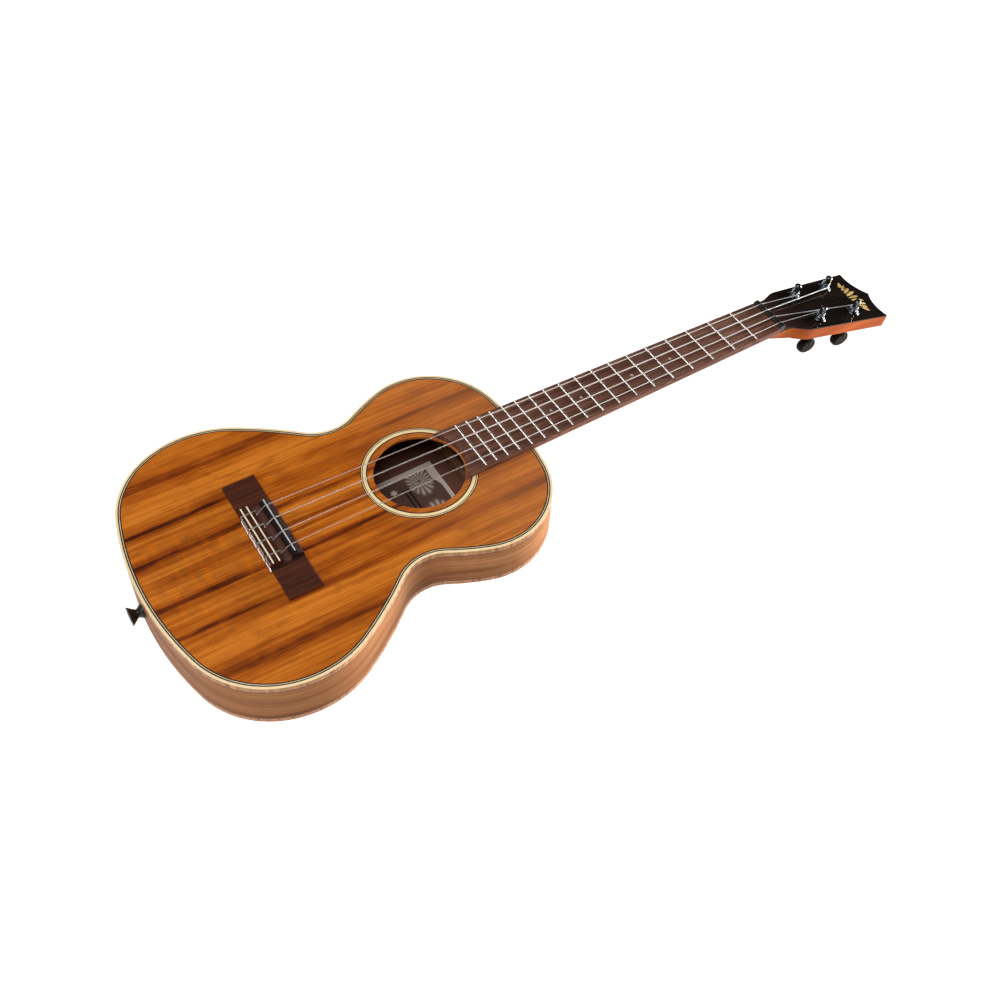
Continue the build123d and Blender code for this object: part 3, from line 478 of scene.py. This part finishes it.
def tube(name, points, radius, material, body, sides=10):
    """A round strand through the points, closed at both ends, as a mesh that rides the body."""
    points = [Vector(p) for p in points]
    path = []
    for k in range(len(points) - 1):
        a, b = points[k], points[k + 1]
        before = points[k - 1] if k else a
        after = points[k + 2] if k + 2 < len(points) else b
        for step in range(6):
            t = step / 6.0
            path.append(
                0.5 * (2 * a + (b - before) * t + (2 * before - 5 * a + 4 * b - after) * t * t
                       + (3 * a - before - 3 * b + after) * t * t * t)
            )
    path.append(points[-1])
    mesh = bpy.data.meshes.new(name)
    bm = bmesh.new()
    rings = []
    side = None
    for k, place in enumerate(path):
        way = (path[min(k + 1, len(path) - 1)] - path[max(k - 1, 0)]).normalized()
        side = way.orthogonal() if side is None else side
        side = (side - way * side.dot(way)).normalized()
        other = way.cross(side)
        thin = 0.55 if k in (0, len(path) - 1) else 1.0
        rings.append([
            bm.verts.new(place + (side * math.cos(a) + other * math.sin(a)) * radius * thin)
            for a in (2 * math.pi * n / sides for n in range(sides))
        ])
    for first, second in zip(rings, rings[1:]):
        for n in range(sides):
            bm.faces.new((first[n], first[(n + 1) % sides], second[(n + 1) % sides], second[n]))
    bm.faces.new(rings[0][::-1])
    bm.faces.new(rings[-1])
    bmesh.ops.recalc_face_normals(bm, faces=bm.faces)
    bm.to_mesh(mesh)
    bm.free()
    mesh.shade_smooth()
    mesh.materials.append(material)
    obj = bpy.data.objects.new(name, mesh)
    bpy.context.scene.collection.objects.link(obj)
    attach(obj, body)
    return obj


# The cut ends of the strings lie behind the tie block, each tucked under the next string.
TAIL_END = plastic("nylon_ends", (1.0, 0.97, 0.94), (0.97, 0.92, 0.88), 0.3)
ENDS = (
    ("g", 0.0188, 0.0072, 0.00042),
    ("c", 0.0058, -0.0058, 0.00056),
    ("e", -0.0072, -0.0188, 0.00048),
    ("a", -0.0200, -0.0285, 0.00042),
)
for number, (name, start, end, radius) in enumerate(ENDS):
    lift = 0.0446 - 0.0003 * number
    tube(
        "string_end_" + name,
        (
            (BRIDGE_REAR_X - 0.0008, start, lift + 0.0002),
            (BRIDGE_REAR_X - 0.0010, start * 0.7 + end * 0.3, lift - 0.0007),
            (BRIDGE_REAR_X - 0.0009, start * 0.35 + end * 0.65, lift - 0.0004),
            (BRIDGE_REAR_X - 0.0012, end, lift - 0.0012),
        ),
        radius,
        TAIL_END,
        BODY,
    )


# ---------------------------------------------------------------- stage, light, camera


def look_at(obj, place, target):
    way = (Vector(target) - Vector(place)).normalized()
    obj.matrix_world = Matrix.Translation(place) @ way.to_track_quat("-Z", "Y").to_matrix().to_4x4()


def soft_box(name, place, target, size, power):
    data = bpy.data.lights.new(name, "AREA")
    data.shape = "RECTANGLE"
    data.size, data.size_y = size
    data.energy = power
    light = bpy.data.objects.new(name, data)
    bpy.context.scene.collection.objects.link(light)
    look_at(light, place, target)
    light.visible_camera = False


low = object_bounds()[0][2] - 0.0005
mesh = bpy.data.meshes.new("floor")
mesh.from_pydata([(-9, -9, low), (9, -9, low), (9, 9, low), (-9, 9, low)], [], [(0, 1, 2, 3)])
floor = bpy.data.objects.new("floor", mesh)
bpy.context.scene.collection.objects.link(floor)
pale = Shade(
    "pale_floor",
    base_color=(0.45, 0.45, 0.45),
    roughness=0.9,
    specular_ior_level=0.0,
    emission_color=(1, 1, 1),
    emission_strength=0.93,
)
floor.data.materials.append(pale.material)

soft_box("overhead", (-0.25, -0.30, 1.60), (0.15, 0.0, 0.0), (1.2, 1.1), 13.5)
soft_box("back_left", (-0.75, 0.85, 1.30), (0.15, 0.0, 0.04), (0.9, 0.7), 7.5)
soft_box("left", (-1.6, -0.5, 0.5), (0.0, 0.0, 0.03), (1.0, 0.8), 10)
soft_box("right", (1.65, -0.16, 0.14), (0.05, -0.08, 0.03), (1.0, 0.24), 80)

world = bpy.data.worlds.new("studio")
world.use_nodes = True
world.node_tree.nodes["Background"].inputs[0].default_value = (1, 1, 1, 1)
world.node_tree.nodes["Background"].inputs[1].default_value = 0.03
bpy.context.scene.world = world

lens = bpy.data.cameras.new("camera")
lens.sensor_width = 36.0
lens.lens = 44.204
lens.clip_start = 0.01
camera = bpy.data.objects.new("camera", lens)
bpy.context.scene.collection.objects.link(camera)
bpy.context.scene.camera = camera
ahead = Vector((0.358, 0.5177, -0.7771)).normalized()
right = Vector((0.8484, -0.5279, 0.0391))
right = (right - ahead * right.dot(ahead)).normalized()
up = right.cross(ahead)
turn = Matrix((right, up, -ahead)).transposed()
camera.matrix_world = Matrix.Translation((-0.1643, -0.4997, 0.7135)) @ turn.to_4x4()

scene = bpy.context.scene
scene.view_settings.view_transform = "Standard"
scene.view_settings.look = "None"
